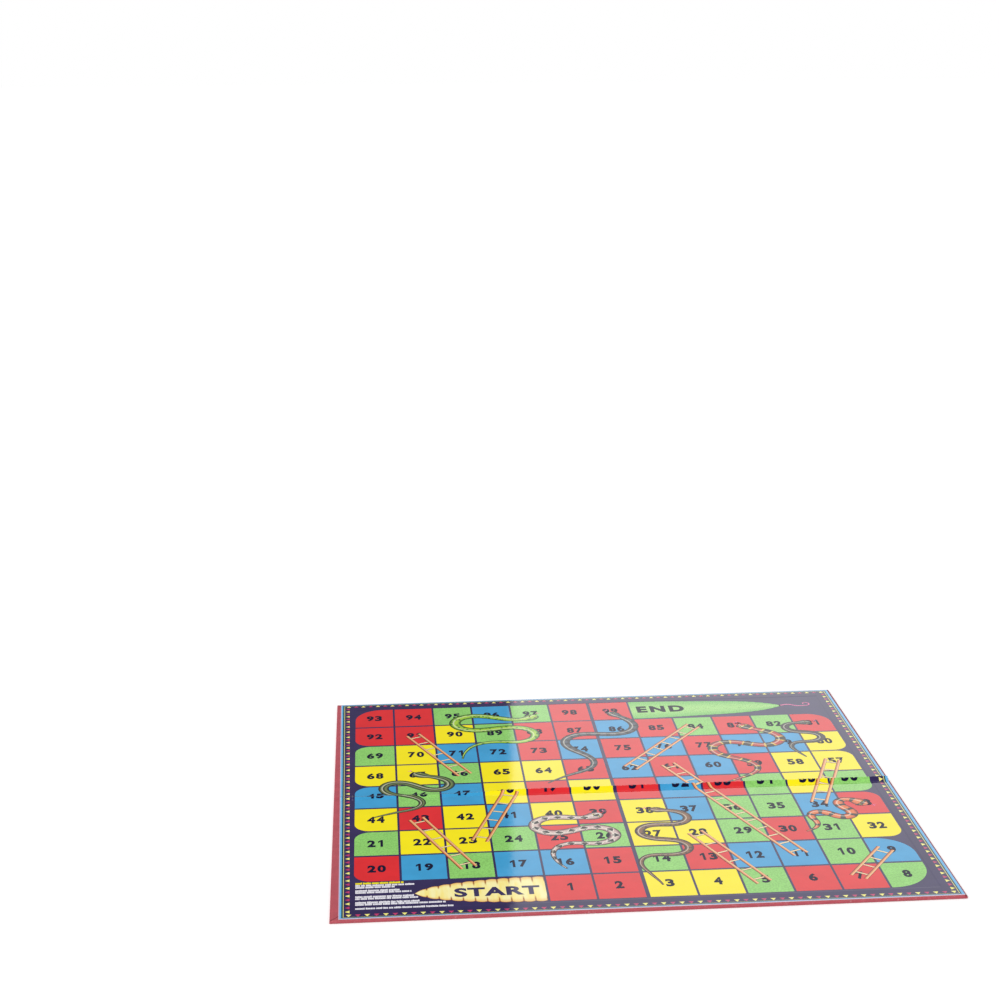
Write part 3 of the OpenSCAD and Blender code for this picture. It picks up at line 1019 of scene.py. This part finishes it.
def wrap_paper():
    """Dusty red wrap paper: fibres, soft blotches, pale wear along the outer edges, and painted shade along
    the right turn-in and in the mitred seams.
    """
    red = srgb(178, 77, 88)
    sh = Shade("wrap_paper", 0.5, 1.36)
    place = sh.place()
    x, y, z = sh.split(place)
    fibre = sh.noise(place, 1400.0, 4.0, 0.6)
    blotch = sh.between(sh.noise(place, 90.0, 5.0, 0.65), 0.30, 0.70)
    base = sh.mix(blotch, scaled(red, 0.93), scaled(red, 1.07))
    base = sh.mix(sh.times(sh.between(fibre, 0.55, 0.75), 0.35), base, srgb(214, 132, 140))
    # painted shade along the turn-in on the right
    painted_shade_right = sh.times(sh.between(x, (HALF_W - 2.6) * MM, (HALF_W - 1.6) * MM),
                      sh.between(z, 1.2 * MM, 2.0 * MM))
    base = sh.mix(sh.times(painted_shade_right, 0.55), base, srgb(104, 14, 34))
    # scuffed along the outer edges
    edge_x = sh.between(sh.absolute(x), (HALF_W - 1.1) * MM, (HALF_W - 0.1) * MM)
    edge_y = sh.between(sh.absolute(y), (HALF_D - 1.1) * MM, (HALF_D - 0.1) * MM)
    edge = sh.math("MAXIMUM", sh.times(edge_x, 0.4), edge_y)
    scuff = sh.between(sh.noise(place, 480.0, 5.0, 0.65), 0.56, 0.72)
    base = sh.mix(sh.times(sh.times(edge, scuff), 0.40), base, srgb(226, 176, 178))
    # painted shade: a dark line in the mitred seam in each corner of the turn-ins
    inset_x = sh.math("SUBTRACT", HALF_W * MM, sh.absolute(x))
    inset_y = sh.math("SUBTRACT", HALF_D * MM, sh.absolute(y))
    off_mitre = sh.absolute(sh.math("SUBTRACT", inset_x, inset_y))
    fold = sh.times(sh.between(off_mitre, 0.75 * MM, 0.25 * MM), sh.between(z, 1.9 * MM, 2.2 * MM))
    fold = sh.times(fold, sh.between(inset_x, (TURN_IN + 0.5) * MM, (TURN_IN - 0.5) * MM))
    base = sh.mix(sh.times(fold, 0.7), base, srgb(92, 26, 36))
    sh.put(sh.bsdf.inputs["Roughness"], sh.math("MULTIPLY_ADD", blotch, 0.05, 0.46))
    sh.bump(fibre, 0.35, 0.00005)
    return sh.colour(base)


def raw_greyboard():
    """Grey chipboard: specks of fibre, and its layers on the cut edges."""
    sh = Shade("raw_greyboard", 0.85)
    place = sh.place()
    speck = sh.between(sh.noise(place, 1800.0, 3.0, 0.7), 0.58, 0.72)
    layer = sh.node("ShaderNodeMapping", Vector=place, Scale=(40.0, 40.0, 5200.0))
    plies = sh.between(sh.noise(layer.outputs[0], 1.0, 2.0), 0.4, 0.62)
    base = sh.mix(plies, srgb(150, 142, 130), srgb(176, 168, 156))
    base = sh.mix(sh.times(speck, 0.6), base, srgb(96, 88, 80))
    sh.bump(sh.noise(place, 900.0, 3.0), 0.4, 0.00008)
    return sh.colour(base)


def dress(node, material):
    mesh = nodes[node].data
    mesh.materials.clear()
    mesh.materials.append(material)


WRAP = wrap_paper()
GREY = raw_greyboard()
for panel in ("front", "back"):
    dress(f"greyboard_{panel}", GREY)
    dress(f"wrap_{panel}", WRAP)
    dress(f"face_{panel}", NAVY_SHEET)

crease_sheet()
spine(WRAP)
squares()
border()
banners()
small_print()
numbers()
snakes()
ladders()


# Studio
BACKDROP, AMBIENT = 1.0, 0.62          # world's light: what is seen of it, and what it gives the board
FLAG, FLAG_DIM = (-0.45, 0.080), 0.11  # dark flag: the x over y that it covers, and the light left there
FLOOR_COLOUR, FLOOR_GLOW = (0.92, 0.92, 0.92), 0.14
SUN, SUN_ANGLE, SUN_TOWARDS = 1.61, 50, (0.45, 0.50, -0.80)
LENS, SENSOR = 65.614, 36.0
CAMERA_AT = (-0.195926, -1.414998, 0.646072)    # metres
CAMERA_TURN = (74.74525, 0.32252, -4.12192)     # degrees about x, y and z


def backdrop_strength(tree):
    """Strength of the white backdrop: even to the camera. In the gloss it is brighter low down, dim
    overhead, and dim over a dark flag that stands behind the board on the left."""
    x, y, z = tree.split(tree.node("ShaderNodeTexCoord").outputs["Generated"])
    glow = tree.times(tree.between(z, 0.36, 0.50, 1.54, 1.08), tree.between(z, 0.66, 0.86, 1.0, 0.2))
    lean = tree.math("DIVIDE", x, tree.math("MAXIMUM", y, 0.001))
    flag = tree.times(tree.between(lean, FLAG[1] - 0.006, FLAG[1], 1.0, 0.0),
                      tree.between(lean, FLAG[0] - 0.02, FLAG[0], 0.0, 1.0))
    flag = tree.times(flag, tree.math("GREATER_THAN", y, 0.0))
    gloss = tree.times(glow, tree.math("MULTIPLY_ADD", flag, FLAG_DIM - 1, 1.0))
    change = tree.math("SUBTRACT", gloss, BACKDROP)
    return tree.math("MULTIPLY_ADD", tree.seen_by("Is Glossy Ray"), change, BACKDROP)


def world_light():
    world = bpy.data.worlds.new("studio")
    bpy.context.scene.world = world
    world.cycles.sampling_method = "NONE"
    world.use_nodes = True
    world.node_tree.nodes.clear()
    tree = Tree(world.node_tree)
    white = (1.0, 1.0, 1.0)
    ambient = tree.node("ShaderNodeBackground", Color=white, Strength=AMBIENT)
    backdrop = tree.node("ShaderNodeBackground", Color=white, Strength=backdrop_strength(tree))
    mix = tree.node("ShaderNodeMixShader")
    seen = tree.seen_by("Is Camera Ray", "Is Glossy Ray", "Is Transmission Ray")
    for socket, value in zip(mix.inputs, (seen, ambient.outputs[0], backdrop.outputs[0])):
        tree.put(socket, value)
    tree.node("ShaderNodeOutputWorld", Surface=mix.outputs[0])


def key_light():
    sun = bpy.data.lights.new("key", "SUN")
    sun.energy, sun.angle = SUN, math.radians(SUN_ANGLE)
    key = add_object("key", sun)
    key.rotation_euler = Vector(SUN_TOWARDS).to_track_quat("-Z", "Y").to_euler()


def floor():
    """White floor that keeps the shadow. To the camera and in the gloss it glows a little."""
    mesh = bpy.data.meshes.new("floor")
    reach, z = 14.0, -0.0001
    ground = [(-reach, -reach, z), (reach, -reach, z), (reach, reach, z), (-reach, reach, z)]
    mesh.from_pydata(ground, [], [(0, 1, 2, 3)])
    material = bpy.data.materials.new("floor_white")
    material.use_nodes = True
    material.node_tree.nodes.clear()
    tree = Tree(material.node_tree)
    paint = tree.node("ShaderNodeBsdfDiffuse", Color=FLOOR_COLOUR)
    seen = tree.seen_by("Is Camera Ray", "Is Glossy Ray")
    glow = tree.node("ShaderNodeEmission", Strength=tree.times(seen, FLOOR_GLOW))
    both = tree.node("ShaderNodeAddShader")
    tree.put(both.inputs[0], paint.outputs[0])
    tree.put(both.inputs[1], glow.outputs[0])
    tree.node("ShaderNodeOutputMaterial", Surface=both.outputs[0])
    mesh.materials.append(material)
    add_object("floor", mesh)


def camera():
    """Camera where the photograph was taken from."""
    data = bpy.data.cameras.new("camera")
    data.lens, data.sensor_width = LENS, SENSOR
    data.clip_start, data.clip_end = 0.05, 60.0
    eye = add_object("camera", data)
    turn = Euler([math.radians(v) for v in CAMERA_TURN])
    eye.matrix_world = Matrix.LocRotScale(Vector(CAMERA_AT), turn, None)
    bpy.context.scene.camera = eye


bpy.context.scene.view_settings.view_transform = "Standard"
world_light()
key_light()
floor()
camera()
